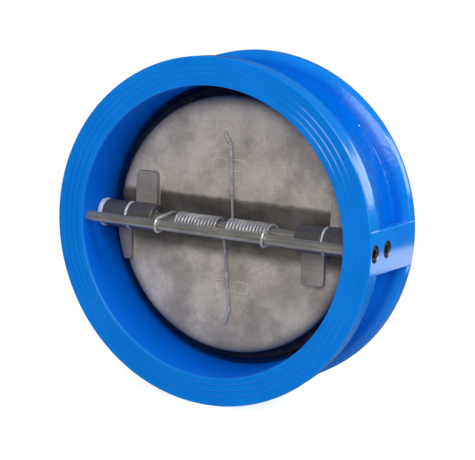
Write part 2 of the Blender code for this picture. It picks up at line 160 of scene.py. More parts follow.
# Long leg of each spring as (x, back from the hinge axis, out from it), from the coil to the bent tip
UPPER_LEG = (
    (2 * MM, COIL_RADIUS, 3 * MM),
    (1.5 * MM, LEG_BACK, STRIP_OUT - 2 * MM),
    (-1.5 * MM, LEG_BACK, 64 * MM),
    (-3 * MM, LEG_BACK, 66.5 * MM),
    (-7 * MM, LEG_BACK, 74 * MM),
)
LOWER_LEG = (
    (-5.6 * MM, COIL_RADIUS, 3 * MM),
    (-4 * MM, LEG_BACK, STRIP_OUT - 2 * MM),
    (1.5 * MM, LEG_BACK, 65 * MM),
    (1.2 * MM, LEG_BACK, 68 * MM),
    (-1.8 * MM, LEG_BACK, 79 * MM),
)

# How finely the springs are drawn
COIL_POINTS_PER_TURN = 36
HOOK_POINTS = 24
WIRE_SIDES = 14
PATH_SPACING = 0.8 * MM

# Camera, floor and lights
CAMERA_AZIMUTH = math.radians(27.33)
CAMERA_ELEVATION = math.radians(11.13)
CAMERA_ROLL = math.radians(2.02)
CAMERA_DISTANCE = 1.2329
CAMERA_TARGET = Vector((3.27 * MM, 0.5 * MM, -3.54 * MM))
CAMERA_LENS = 117.77
FLOOR_RADIUS = 0.65
KEY_PLACE = (1.3, -0.25, 1.0)
TABLE_PLACE = (0.35, 0.45, -0.135)
ABOVE_TABLE = (0.35, 0.45, 1.0)


# ---- node helpers ----

def set_inputs(tree, node, inputs):
    """Set a node's inputs, each to a value or to another node's output socket."""
    for key, value in inputs.items():
        if isinstance(value, bpy.types.NodeSocket):
            tree.links.new(value, node.inputs[key])
        else:
            node.inputs[key].default_value = value


def add_node(tree, kind, inputs=None, **settings):
    """Add a node with the given settings and inputs."""
    new = tree.nodes.new("ShaderNode" + kind)
    for key, value in settings.items():
        setattr(new, key, value)
    set_inputs(tree, new, inputs or {})
    return new


def object_place(tree, stretch=(1.0, 1.0, 1.0)):
    """Object coordinates in metres, scaled along each axis."""
    place = add_node(tree, "TexCoord").outputs["Object"]
    return add_node(tree, "Mapping", {"Vector": place, "Scale": stretch}).outputs["Vector"]


def coordinates(tree):
    """X, Y and Z of the shaded point at rest, in metres."""
    return add_node(tree, "SeparateXYZ", {0: object_place(tree)}).outputs


def noise_value(tree, size, detail=4.0, stretch=(1.0, 1.0, 1.0), roughness=0.55):
    """Noise from 0 to 1 whose lumps are about size metres across."""
    inputs = {
        "Vector": object_place(tree, stretch),
        "Scale": 1.0 / size,
        "Detail": detail,
        "Roughness": roughness,
    }
    return add_node(tree, "TexNoise", inputs).outputs["Fac"]


def remap(tree, value, low, high, new_low=0.0, new_high=1.0):
    """Turn the range low..high into new_low..new_high, clamped and smooth."""
    inputs = {
        "Value": value, "From Min": low, "From Max": high, "To Min": new_low, "To Max": new_high,
    }
    return add_node(tree, "MapRange", inputs, interpolation_type="SMOOTHSTEP").outputs["Result"]


def maths(tree, operation, first, second=0.0):
    """One Math node."""
    new = add_node(tree, "Math", {0: first, 1: second}, operation=operation)
    return new.outputs[0]


def product(tree, first, second):
    """Two values multiplied."""
    return maths(tree, "MULTIPLY", first, second)


def rest_of(tree, value):
    """What is left of 1 after value."""
    return maths(tree, "SUBTRACT", 1.0, value)


def mix_colour(tree, share, first, second):
    """Blend two colours."""
    inputs = {0: share, 6: first, 7: second}
    return add_node(tree, "Mix", inputs, data_type="RGBA").outputs[2]


def bump(tree, height, distance, strength=1.0, normal=None):
    """Bump from a 0 to 1 height that stands for distance metres."""
    inputs = {"Height": height, "Distance": distance, "Strength": strength}
    if normal is not None:
        inputs["Normal"] = normal
    return add_node(tree, "Bump", inputs).outputs["Normal"]


def new_material(name):
    """A material with an empty Principled shader. Returns the material, its tree and the shader."""
    material = bpy.data.materials.new(name)
    material.use_nodes = True
    tree = material.node_tree
    return material, tree, tree.nodes["Principled BSDF"]


# ---- materials ----

def distance_from_pipe_axis(tree):
    """Distance of the shaded point from the pipe axis, in metres."""
    place = coordinates(tree)
    across = product(tree, place["X"], place["X"])
    up = product(tree, place["Z"], place["Z"])
    return maths(tree, "SQRT", maths(tree, "ADD", across, up))


def blue_paint():
    """Glossy epoxy on cast iron: orange peel everywhere, the casting's skin in the pockets, and painted
    shade in the pocket hollows, in the bores and in front of the seat.
    """
    material, tree, shader = new_material("blue_epoxy_paint")
    radius = distance_from_pipe_axis(tree)
    rough_skin = product(
        tree,
        remap(tree, radius, 116 * MM, 118 * MM),
        remap(tree, radius, OUTER_RADIUS - 0.1 * MM, OUTER_RADIUS - 1.2 * MM),
    )
    face = coordinates(tree)["Y"]
    off_face = product(
        tree,
        remap(tree, face, -HALF_LENGTH + 1.5 * MM, -HALF_LENGTH + 3 * MM),
        remap(tree, face, HALF_LENGTH - 1.5 * MM, HALF_LENGTH - 3 * MM),
    )
    in_face = rest_of(tree, off_face)
    skin = product(tree, rough_skin, off_face)
    wall_depth = POCKET_DEPTHS[1] - HALF_LENGTH
    on_wall = remap(tree, face, wall_depth - 1 * MM, wall_depth + 2 * MM)
    skin = product(tree, skin, rest_of(tree, product(tree, on_wall, 0.8)))
    hollow = remap(tree, radius, OUTER_RADIUS - 3 * MM, OUTER_RADIUS - 9 * MM)
    in_bore = remap(tree, radius, OUTLET_BORE_RADIUS + 2 * MM, OUTLET_BORE_RADIUS + 0.5 * MM)
    shoulder = SHOULDER_CHAMFER_DEPTH - HALF_LENGTH
    # Painted shade: the bore darkens almost to black just in front of the seat, where the plates shade it.
    painted_seat_shade = product(
        tree,
        remap(tree, face, shoulder - 6 * MM, shoulder + 1 * MM),
        remap(tree, face, shoulder + 9 * MM, shoulder + 5 * MM),
    )
    near_bore = product(tree, in_bore, remap(tree, radius, INLET_BORE_RADIUS - 6 * MM, INLET_BORE_RADIUS))
    painted_seat_shade = product(tree, painted_seat_shade, near_bore)
    shade = noise_value(tree, 45 * MM, detail=3.0)
    plain_paint = mix_colour(
        tree, remap(tree, shade, 0.35, 0.65), (0.0, 0.205, 0.72, 1.0), (0.0, 0.23, 0.79, 1.0)
    )
    recess = maths(tree, "MAXIMUM", maths(tree, "SUBTRACT", hollow, in_face), 0.0)
    # Painted shade: the paint turns darker in the pocket hollows and a deeper blue in the bores.
    hollow_shade = product(tree, recess, 0.75)
    shaded_paint = mix_colour(tree, in_bore, (0.0, 0.105, 0.60, 1.0), (0.0, 0.152, 0.86, 1.0))
    paint_with_hollow_shade = mix_colour(tree, hollow_shade, plain_paint, shaded_paint)
    colour = mix_colour(tree, product(tree, painted_seat_shade, 0.93), paint_with_hollow_shade, (0.0, 0.008, 0.03, 1.0))
    peel = bump(tree, noise_value(tree, 3.0 * MM, detail=1.0), 0.012 * MM)
    lumps_height = noise_value(tree, 3.4 * MM, detail=1.5)
    casting = bump(tree, lumps_height, 1.0 * MM, strength=skin, normal=peel)
    gloss = rest_of(tree, product(tree, hollow_shade, 1.1))
    polish = remap(tree, shade, 0.3, 0.7, 0.13, 0.18)
    set_inputs(tree, shader, {
        "Base Color": colour,
        "Roughness": maths(tree, "ADD", polish, product(tree, in_bore, 0.3)),
        "Specular IOR Level": product(tree, remap(tree, in_bore, 0.0, 1.0, 0.42, 0.2), gloss),
        "Normal": casting,
    })
    return material


def cast_steel():
    """Blasted stainless casting: cloudy warm grey, turned knuckles, painted shade on the strips by the
    hinge, along the rim and round the pads' front edges, and a painted highlight in the pads' fillets.
    """
    material, tree, shader = new_material("cast_stainless")
    clouds = noise_value(tree, 38 * MM, detail=7.0, roughness=0.62)
    stains = noise_value(tree, 10 * MM, detail=8.0, roughness=0.7)
    sand = noise_value(tree, 1.0 * MM, detail=3.0)
    pits = noise_value(tree, 3.0 * MM, detail=4.0, roughness=0.7)
    base = mix_colour(
        tree, remap(tree, clouds, 0.34, 0.66), (0.42, 0.355, 0.285, 1.0), (0.74, 0.64, 0.52, 1.0)
    )
    stained = mix_colour(tree, remap(tree, stains, 0.52, 0.74, 0.0, 0.45), base, (0.27, 0.235, 0.20, 1.0))
    speckled = mix_colour(tree, remap(tree, sand, 0.52, 0.72, 0.0, 0.3), stained, (0.90, 0.85, 0.79, 1.0))
    smudges = noise_value(tree, 16 * MM, detail=6.0, roughness=0.6)
    pitted = mix_colour(tree, remap(tree, pits, 0.46, 0.30, 0.0, 0.18), speckled, (0.24, 0.21, 0.18, 1.0))
    smudged = mix_colour(tree, remap(tree, smudges, 0.50, 0.30, 0.0, 0.38), pitted, (0.26, 0.225, 0.19, 1.0))
    place = coordinates(tree)
    height = maths(tree, "ABSOLUTE", place["Z"])
    behind = maths(tree, "SUBTRACT", place["Y"], HINGE_Y)
    squares = maths(tree, "ADD", product(tree, behind, behind), product(tree, height, height))
    from_hinge = maths(tree, "SQRT", squares)
    # Painted shade on the sloping strips beside the hinge; on the lower half it reaches further below the
    # pin.
    wavering = maths(tree, "ADD", height, product(tree, stains, 4 * MM))
    above = remap(tree, wavering, STRIP_OUT + 6 * MM, STRIP_OUT + 2.8 * MM)
    below = remap(tree, wavering, STRIP_OUT + 10 * MM, STRIP_OUT + 0.5 * MM, 0.0, 0.86)
    lower = maths(tree, "LESS_THAN", place["Z"], 0.0)
    beside_hinge = add_node(tree, "Mix", {0: lower, 2: above, 3: below}).outputs[0]
    sunk = remap(tree, behind, PLATE_FACE_BACK - 1 * MM, PLATE_FACE_BACK - 0.3 * MM)
    strip = product(tree, beside_hinge, sunk)
    strip = product(tree, strip, remap(tree, behind, PLATE_EDGE_BACK + 1.3 * MM, PLATE_EDGE_BACK))
    strip = product(tree, strip, remap(tree, clouds, 0.35, 0.65, 0.9, 0.72))
    raised = remap(tree, behind, PLATE_FACE_BACK - 1.2 * MM, PLATE_FACE_BACK - 2.5 * MM)
    raised = product(tree, raised, remap(tree, place["X"], 60 * MM, 98 * MM, 0.65, 0.1))
    radius = distance_from_pipe_axis(tree)
    # Painted shade: the plate darkens towards its rim, next to the bore.
    rim = remap(tree, radius, PLATE_RADIUS - 10 * MM, PLATE_RADIUS - 0.5 * MM, 0.0, 0.6)
    turned_part = remap(tree, from_hinge, BARREL_RADIUS + 0.8 * MM, BARREL_RADIUS + 0.1 * MM)
    on_pad = mix_colour(tree, raised, smudged, (0.185, 0.165, 0.15, 1.0))
    # Painted shadow: a dark line round the front edge of each pad.
    pad_edge_shadow = product(
        tree,
        remap(tree, behind, PAD_BACK + 0.15 * MM, PAD_BACK + 0.4 * MM),
        remap(tree, behind, PAD_BACK + 1.5 * MM, PAD_BACK + 1.1 * MM, 0.0, 0.6),
    )
    on_pad = mix_colour(tree, pad_edge_shadow, on_pad, (0.05, 0.048, 0.045, 1.0))
    # Painted highlight: a bright line in the fillet at the foot of each pad.
    fillet_highlight = product(
        tree,
        remap(tree, behind, PLATE_FACE_BACK - 0.3 * MM, PLATE_FACE_BACK - 0.5 * MM),
        remap(tree, behind, PLATE_FACE_BACK - 1.5 * MM, PLATE_FACE_BACK - 1.1 * MM, 0.0, 0.35),
    )
    on_pad = mix_colour(tree, fillet_highlight, on_pad, (0.95, 0.91, 0.86, 1.0))
    with_strip_shade = mix_colour(tree, strip, on_pad, (0.088, 0.073, 0.058, 1.0))
    with_rim_shade = mix_colour(tree, rim, with_strip_shade, (0.06, 0.06, 0.065, 1.0))
    oxide = mix_colour(
        tree, remap(tree, sand, 0.3, 0.7), (0.085, 0.079, 0.075, 1.0), (0.205, 0.19, 0.175, 1.0)
    )
    colour = mix_colour(tree, turned_part, with_rim_shade, oxide)
    flat_part = rest_of(tree, turned_part)
    skin = bump(tree, sand, 0.09 * MM, strength=flat_part)
    skin = bump(tree, pits, 0.15 * MM, strength=product(tree, flat_part, 0.6), normal=skin)
    rough = remap(tree, stains, 0.3, 0.7, 0.46, 0.6)
    set_inputs(tree, shader, {
        "Base Color": colour,
        "Metallic": remap(tree, turned_part, 0.0, 1.0, 0.2, 0.45),
        "Roughness": product(tree, rough, remap(tree, turned_part, 0.0, 1.0, 1.0, 0.8)),
        "Normal": skin,
    })
    return material


def drawn_steel(name, dark, light, roughness, streak, metallic=1.0):
    """Steel bar or wire with fine streaks along X and a little staining."""
    material, tree, shader = new_material(name)
    streaks = noise_value(tree, streak, detail=5.0, stretch=(0.05, 1.0, 1.0))
    patches = noise_value(tree, 9 * MM, detail=5.0, stretch=(0.5, 1.0, 1.0))
    colour = mix_colour(tree, remap(tree, patches, 0.38, 0.66), dark, light)
    set_inputs(tree, shader, {
        "Base Color": colour,
        "Metallic": metallic,
        "Roughness": remap(tree, streaks, 0.3, 0.7, roughness - 0.07, roughness + 0.09),
        "Normal": bump(tree, streaks, 0.03 * MM),
    })
    return material


def soft_white():
    """Waxy white PTFE with faint turning marks and grey handling stains."""
    material, tree, shader = new_material("white_ptfe")
    stains = noise_value(tree, 3.5 * MM, detail=5.0)
    marks = noise_value(tree, 0.5 * MM, detail=2.0, stretch=(1.0, 0.2, 0.2))
    colour = mix_colour(
        tree, remap(tree, stains, 0.48, 0.72, 0.0, 0.6), (0.80, 0.81, 0.84, 1.0), (0.42, 0.43, 0.46, 1.0)
    )
    set_inputs(tree, shader, {
        "Base Color": colour,
        "Roughness": remap(tree, stains, 0.3, 0.7, 0.35, 0.5),
        "Subsurface Weight": 0.15,
        "Subsurface Scale": 1 * MM,
        "Normal": bump(tree, marks, 0.08 * MM),
    })
    return material


def seat_rubber():
    """Black moulded rubber with a dusty bloom."""
    material, tree, shader = new_material("black_rubber")
    bloom = noise_value(tree, 9 * MM, detail=5.0)
    grain = noise_value(tree, 0.7 * MM, detail=2.0)
    colour = mix_colour(
        tree, remap(tree, bloom, 0.45, 0.75), (0.012, 0.012, 0.014, 1.0), (0.035, 0.035, 0.037, 1.0)
    )
    set_inputs(tree, shader, {
        "Base Color": colour,
        "Roughness": remap(tree, bloom, 0.3, 0.7, 0.5, 0.7),
        "Normal": bump(tree, grain, 0.04 * MM),
    })
    return material


def black_oxide():
    """Oiled black oxide on steel, rubbed back to grey in places."""
    material, tree, shader = new_material("black_oxide_steel")
    wear = noise_value(tree, 1.2 * MM, detail=5.0)
    colour = mix_colour(
        tree, remap(tree, wear, 0.52, 0.72), (0.02, 0.02, 0.023, 1.0), (0.22, 0.23, 0.25, 1.0)
    )
    set_inputs(tree, shader, {
        "Base Color": colour,
        "Metallic": 0.85,
        "Roughness": remap(tree, wear, 0.3, 0.7, 0.35, 0.5),
        "Normal": bump(tree, wear, 0.04 * MM),
    })
    return material


def red_fibre():
    """Red vulcanised fibre with a faint felted grain."""
    material, tree, shader = new_material("red_fibre")
    grain = noise_value(tree, 0.8 * MM, detail=4.0)
    colour = mix_colour(tree, grain, (0.25, 0.05, 0.03, 1.0), (0.42, 0.11, 0.06, 1.0))
    set_inputs(tree, shader, {
        "Base Color": colour,
        "Roughness": 0.7,
        "Normal": bump(tree, grain, 0.05 * MM),
    })
    return material


def pale_floor():
    """White table that lets the white surroundings through towards its edge."""
    material, tree, shader = new_material("pale_floor")
    spread = distance_on_floor(tree)
    tone = noise_value(tree, 300 * MM, detail=2.0)
    colour = mix_colour(tree, tone, (0.50, 0.50, 0.505, 1.0), (0.54, 0.54, 0.545, 1.0))
    set_inputs(tree, shader, {
        "Base Color": colour,
        "Roughness": 0.8,
        "Emission Color": (1.0, 1.0, 1.0, 1.0),
        "Emission Strength": 0.80,
        "Alpha": remap(tree, spread, 0.25, 0.62, 1.0, 0.0),
    })
    return material


def distance_on_floor(tree):
    """Horizontal distance from the middle of the floor, in metres."""
    flat = add_node(tree, "Mapping", {"Vector": object_place(tree), "Scale": (1.0, 1.0, 0.0)})
    return add_node(tree, "VectorMath", {0: flat.outputs[0]}, operation="LENGTH").outputs["Value"]


# ---- mesh helpers ----

def add_object(name, data):
    """A new object in the scene."""
    obj = bpy.data.objects.new(name, data)
    bpy.context.scene.collection.objects.link(obj)
    return obj


def object_from(name, points, faces, material, smooth_angle=40.0):
    """A mesh object with smooth shading between faces that meet at a small angle."""
    mesh = bpy.data.meshes.new(name)
    mesh.from_pydata([tuple(point) for point in points], [], faces)
    mesh.materials.append(material)
    tidy_mesh(mesh, smooth_angle)
    return add_object(name, mesh)


def tidy_mesh(mesh, smooth_angle):
    """Weld doubled points, point the faces out and shade smooth."""
    bm = bmesh.new()
    bm.from_mesh(mesh)
    bmesh.ops.remove_doubles(bm, verts=bm.verts, dist=0.0005 * MM)
    bmesh.ops.recalc_face_normals(bm, faces=bm.faces)
    bm.to_mesh(mesh)
    bm.free()
    shade(mesh, smooth_angle)


def shade(mesh, smooth_angle):
    """Smooth shading, with sharp edges where faces meet at more than smooth_angle degrees."""
    mesh.shade_smooth()
    mesh.set_sharp_from_angle(angle=math.radians(smooth_angle))


def grid_faces(columns, rows, close_columns=True, close_rows=True):
    """Quads of a grid of points stored column by column."""
    faces = []
    for j in range(columns if close_columns else columns - 1):
        after = (j + 1) % columns
        for i in range(rows if close_rows else rows - 1):
            up = (i + 1) % rows
            faces.append((j * rows + i, after * rows + i, after * rows + up, j * rows + up))
    return faces


def loft_faces(columns, rows):
    """Faces of a loft through rings stored column by column, with both ends closed."""
    last = (columns - 1) * rows
    ends = [tuple(range(rows)), tuple(range(last + rows - 1, last - 1, -1))]
    return grid_faces(columns, rows, close_columns=False) + ends


def turned(name, profile, axis, material, centre=(0.0, 0.0, 0.0), steps=96, closed=True):
    """Turn a (radius, height) profile about the X or Y axis through centre."""
    rows = len(profile)
    points = []
    for j in range(steps):
        angle = 2 * math.pi * j / steps
        for radius, height in profile:
            first, second = radius * math.cos(angle), radius * math.sin(angle)
            place = (height, first, second) if axis == "X" else (first, height, second)
            points.append(Vector(place) + Vector(centre))
    faces = grid_faces(steps, rows, close_rows=closed)
    return object_from(name, points, faces, material)


def rounded(corners, radii, steps=4, closed=True):
    """Round the corners of a polyline, each by its own radius. 0 keeps a corner sharp."""
    count = len(corners)
    points = []
    for i, (corner, radius) in enumerate(zip(corners, radii)):
        here = Vector(corner)
        if radius == 0 or (not closed and i in (0, count - 1)):
            points.append(tuple(here))
            continue
        before = (Vector(corners[i - 1]) - here).normalized()
        after = (Vector(corners[(i + 1) % count]) - here).normalized()
        start, end = here + before * radius, here + after * radius
        for k in range(steps + 1):
            t = k / steps
            points.append(tuple(start * (1 - t) ** 2 + here * 2 * t * (1 - t) + end * t ** 2))
    return points


def prism(name, outline, x_low, x_high, material):
    """Extrude a (y, z) outline along X."""
    rows = len(outline)
    points = [(x, y, z) for x in (x_low, x_high) for y, z in outline]
    return object_from(name, points, loft_faces(2, rows), material)


def tube(points, radii, sides, closed=False):
    """Points and faces of a round tube along a path, with one radius for each point of the path."""
    path = np.array(points, float)
    if closed:
        tangents = np.roll(path, -1, axis=0) - np.roll(path, 1, axis=0)
    else:
        tangents = np.gradient(path, axis=0)
    tangents /= np.linalg.norm(tangents, axis=1)[:, None]
    side = np.cross(tangents[0], (0.31, 0.77, 0.55))
    rings = []
    for place, tangent, radius in zip(path, tangents, radii):
        side = side - tangent * side.dot(tangent)
        side /= np.linalg.norm(side)
        other = np.cross(tangent, side)
        for k in range(sides):
            angle = 2 * math.pi * k / sides
            rings.append(place + radius * (math.cos(angle) * side + math.sin(angle) * other))
    return rings, grid_faces(len(path), sides) if closed else loft_faces(len(path), sides)


def round_ended(points, radius, cap_steps=4):
    """A path and its radii, with both ends closed by half balls."""
    def cap(end, inner):
        """Places and radii of the half ball beyond one end."""
        outward = (end - inner).normalized()
        turns = [math.pi / 2 * k / cap_steps for k in range(1, cap_steps + 1)]
        places = [end + outward * radius * math.sin(turn) for turn in turns]
        return places, [max(radius * math.cos(turn), 0.02 * radius) for turn in turns]

    first_places, first_radii = cap(points[0], points[1])
    last_places, last_radii = cap(points[-1], points[-2])
    path = first_places[::-1] + list(points) + last_places
    radii = first_radii[::-1] + [radius] * len(points) + last_radii
    return path, radii


def smooth_path(corners, spacing):
    """A smooth curve through the given points, with a point about every spacing metres."""
    corners = [Vector(corner) for corner in corners]
    ends = [corners[0] * 2 - corners[1]] + corners + [corners[-1] * 2 - corners[-2]]
    points = []
    for before, start, end, after in zip(ends, ends[1:], ends[2:], ends[3:]):
        count = max(2, round((end - start).length / spacing))
        for k in range(count):
            t = k / count
            points.append(0.5 * (
                2 * start + (end - before) * t
                + (2 * before - 5 * start + 4 * end - after) * t ** 2
                + (3 * start - before - 3 * end + after) * t ** 3
            ))
    return points + [corners[-1]]


def apply_modifiers(obj):
    """Replace an object's mesh by what its modifiers make of it."""
    bpy.context.view_layer.update()
    evaluated = obj.evaluated_get(bpy.context.evaluated_depsgraph_get())
    mesh = bpy.data.meshes.new_from_object(evaluated)
    obj.modifiers.clear()
    obj.data = mesh


def combine(target, tool, operation):
    """Join a tool to the target or cut it away, keeping each face's own material."""
    modifier = target.modifiers.new("combine", "BOOLEAN")
    modifier.operation = operation
    modifier.solver = "MANIFOLD"
    modifier.material_mode = "TRANSFER"
    modifier.object = tool
    apply_modifiers(target)
    bpy.data.objects.remove(tool, do_unlink=True)


def join(target, others):
    """Put the meshes of other objects into the target's mesh, as separate shells."""
    bm = bmesh.new()
    for obj in [target] + others:
        bm.from_mesh(obj.data)
    bm.to_mesh(target.data)
    bm.free()
    for obj in others:
        bpy.data.objects.remove(obj, do_unlink=True)


def lumps(place, layers):
    """Height of a cast surface's unevenness at a point, from layers of (height, size)."""
    return sum(height * noise.noise(place / size) for height, size in layers)


def stand_for(piece, node, ride=True):
    """Let a piece stand for a CAD node: hide the node, and unless ride is False, let the piece ride with the
    node's body.
    """
    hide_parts(node)
    if ride:
        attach(piece, frame["nodes"][node]["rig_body"])


# ---- body ----

def smooth_min(first, second, width):
    """The smaller of two arrays, with the corner between them rounded over width."""
    share = np.clip(0.5 + 0.5 * (second - first) / width, 0.0, 1.0)
    return second * (1 - share) + first * share - width * share * (1 - share)


def smooth_max(first, second, width):
    """The larger of two arrays, with the corner between them rounded over width."""
    return -smooth_min(-first, -second, width)


def pocket_radius(depth):
    """Radius of the outer pocket at each depth: a floor that curves down to a steep rear wall."""
    front, back = POCKET_DEPTHS
    share = (depth - front) / (back - front)
    curve = 1 - (1 - np.clip(share, 0.0, 1.0)) ** 2
    floor = OUTER_RADIUS - POCKET_SINK * (curve + 2 * np.minimum(share, 0.0))
    wall = OUTER_RADIUS - POCKET_SINK + (depth - back) * POCKET_WALL_SLOPE
    return smooth_min(smooth_max(floor, wall, 3.5 * MM), np.full_like(floor, OUTER_RADIUS), 2 * MM)


def boss_radius(angle, depth):
    """Polar radius of the boss's upper and lower walls, which are nearly level planes."""
    rise = np.sin(angle) * np.sign(np.cos(angle))
    run = depth - POCKET_DEPTHS[0]
    top = BOSS_TOP[0] + BOSS_TOP[1] * run
    bottom = BOSS_BOTTOM[0] + BOSS_BOTTOM[1] * run
    half_height = np.where(rise > 0, top, bottom)
    return half_height / np.maximum(np.abs(rise), 0.02)


def ring_angles():
    """Angles round the pipe axis, close together where the boss walls are."""
    fine_reach = (math.radians(5.2), math.radians(10.0))
    fine = [
        base + side * angle
        for base in (0.0, math.pi)
        for side in (-1, 1)
        for angle in np.arange(*fine_reach, math.radians(0.12))
    ]
    coarse = []
    for angle in np.arange(0.0, 2 * math.pi, math.radians(1.0)):
        away = abs((angle + math.pi / 2) % math.pi - math.pi / 2)
        if not fine_reach[0] - 0.01 < away < fine_reach[1] + 0.01:
            coarse.append(angle)
    return np.array(sorted(angle % (2 * math.pi) for angle in fine + coarse))


def gasket_face(depth, inner, outward):
    """(radius, depth) points of a grooved gasket face, from its bore outwards."""
    points = [(inner + RIM_ROUND * 1.6, depth)]
    for radius in GROOVE_RADII:
        points.append((radius - 2 * GROOVE_HALF_WIDTH, depth))
        for share, sink in ((-1, 0.0), (-0.8, 0.1), (0.5, 0.95), (0.7, 1.0), (0.85, 0.9), (1, 0.0)):
            points.append((radius + share * GROOVE_HALF_WIDTH, depth + outward * sink * GROOVE_DEPTH))
        points.append((radius + 2 * GROOVE_HALF_WIDTH, depth))
    points.append((OUTER_RADIUS - 2 * RIM_ROUND, depth))
    return points


def make_body_ring(material):
    """The casting's ring as one closed loft, with the pockets and bosses on its outer side."""
    back = FACE_TO_FACE
    front_face = gasket_face(0.0, OUTLET_BORE_RADIUS, 1)
    front_rim = rounded(
        [(OUTER_RADIUS - 1.5 * RIM_ROUND, 0.0), (OUTER_RADIUS, 0.0), (OUTER_RADIUS, 1.5 * RIM_ROUND)],
        (0, RIM_ROUND, 0), closed=False,
    )
    outer = np.concatenate([
        np.arange(2.2 * MM, 12 * MM, 1.2 * MM),
        np.arange(12 * MM, 18 * MM, 0.5 * MM),
        np.arange(18 * MM, 70 * MM, 1.1 * MM),
        np.arange(70 * MM, 82 * MM, 0.4 * MM),
        np.arange(82 * MM, 87 * MM, 1.2 * MM),
    ])
    back_rim = [(radius, back - depth) for radius, depth in reversed(front_rim)]
    back_face = gasket_face(back, INLET_BORE_RADIUS, -1)[::-1]
    inlet_bore = np.linspace(back - 2 * RIM_ROUND, SHOULDER_DEPTH + 1 * MM, 16)
    outlet_bore = np.linspace(50 * MM, 2 * RIM_ROUND, 30)
    shoulder_rounds = (0.4 * MM, 0.3 * MM, 0.4 * MM, 1.5 * MM)
    inside = rounded(
        [(INLET_BORE_RADIUS + 1.5 * RIM_ROUND, back), (INLET_BORE_RADIUS, back)]
        + [(INLET_BORE_RADIUS, depth) for depth in inlet_bore]
        + [
            (INLET_BORE_RADIUS, SHOULDER_DEPTH),
            (SHOULDER_STEP_RADIUS, SHOULDER_DEPTH),
            (SHOULDER_STEP_RADIUS, SHOULDER_STEP_DEPTH),
            (OUTLET_BORE_RADIUS, SHOULDER_CHAMFER_DEPTH),
        ]
        + [(OUTLET_BORE_RADIUS, depth) for depth in outlet_bore]
        + [(OUTLET_BORE_RADIUS, 0.0), (OUTLET_BORE_RADIUS + 1.5 * RIM_ROUND, 0.0)],
        (0, RIM_ROUND) + (0,) * len(inlet_bore) + shoulder_rounds + (0,) * len(outlet_bore) + (RIM_ROUND, 0),
        closed=False,
    )
    angles = ring_angles()
    first_outer = len(front_face) + len(front_rim)
    fixed = front_face + front_rim + [(0.0, depth) for depth in outer] + back_rim + back_face + inside
    radii = np.tile(np.array([radius for radius, _ in fixed]), (len(angles), 1))
    depths = np.array([depth for _, depth in fixed])
    angle_grid, depth_grid = np.meshgrid(angles, outer, indexing="ij")
    relief = smooth_max(pocket_radius(depth_grid), boss_radius(angle_grid, depth_grid), 2.5 * MM)
    relief = smooth_min(relief, np.full_like(relief, OUTER_RADIUS), 1.2 * MM)
    for j, angle in enumerate(angles):
        for i, depth in enumerate(outer):
            sunk = min(max((OUTER_RADIUS - 0.5 * MM - relief[j, i]) / (3 * MM), 0.0), 1.0)
            place = Vector((relief[j, i] * math.cos(angle), depth, relief[j, i] * math.sin(angle)))
            relief[j, i] += sunk * lumps(place, CAST_LUMPS)
    radii[:, first_outer:first_outer + len(outer)] = relief
    x = radii * np.cos(angles)[:, None]
    y = np.tile(depths - HALF_LENGTH, (len(angles), 1))
    z = radii * np.sin(angles)[:, None]
    points = np.stack([x, y, z], axis=-1).reshape(-1, 3)
    return object_from("valve_body_look", points, grid_faces(len(angles), len(fixed)), material)


def make_web(material):
    """Bar across the inlet bore, with fillets that flare out where it meets the wall."""
    stations = np.linspace(-WEB_HALF_LENGTH, WEB_HALF_LENGTH, 81)
    flare_length = WEB_HALF_LENGTH - WEB_FLARE_START
    front, shoulder, nose = WEB_Y
    wide, narrow = WEB_HALF_HEIGHTS
    points = []
    rows = 0
    for x in stations:
        flare = WEB_FLARE * max(0.0, (abs(x) - WEB_FLARE_START) / flare_length) ** 2
        outline = rounded(
            [
                (front, -wide), (shoulder, -wide - flare), (nose, -narrow - flare),
                (nose, narrow + flare), (shoulder, wide + flare), (front, wide),
            ],
            (0.4 * MM, 3 * MM, 3.5 * MM, 3.5 * MM, 3 * MM, 0.4 * MM),
        )
        rows = len(outline)
        points += [(x, y, z) for y, z in outline]
    return object_from("web", points, loft_faces(len(stations), rows), material)


def make_hole_cutter(side, pin_y, pin_radius, material):
    """Stepped hole for a pin and its plug, with a countersunk mouth."""
    narrow = pin_radius + 1.1 * GAP
    wide = PLUG_HOLE_RADIUS + 0.9 * MM
    profile = [
        (0.0, PIN_HOLE_START), (narrow, PIN_HOLE_START), (narrow, PLUG_HOLE_START),
        (PLUG_HOLE_RADIUS, PLUG_HOLE_START), (PLUG_HOLE_RADIUS, OUTER_RADIUS - 0.8 * MM),
        (wide, OUTER_RADIUS + 0.1 * MM), (wide, OUTER_RADIUS + 3 * MM), (0.0, OUTER_RADIUS + 3 * MM),
    ]
    profile = [(radius, side * height) for radius, height in profile]
    return turned("hole", profile, "X", material, centre=(0.0, pin_y, 0.0), steps=64, closed=False)


def make_body(paint, unpainted_shaded_steel):
    """The whole casting: ring, web and pin holes."""
    body = make_body_ring(paint)
    combine(body, make_web(paint), "UNION")
    holes = [
        make_hole_cutter(side, pin_y, radius, unpainted_shaded_steel)
        for side in (-1, 1)
        for pin_y, radius in ((HINGE_Y, HINGE_PIN_RADIUS), (STOP_Y, STOP_PIN_RADIUS))
    ]
    join(holes[0], holes[1:])
    combine(body, holes[0], "DIFFERENCE")
    shade(body.data, 38)
    stand_for(body, "valve_body")


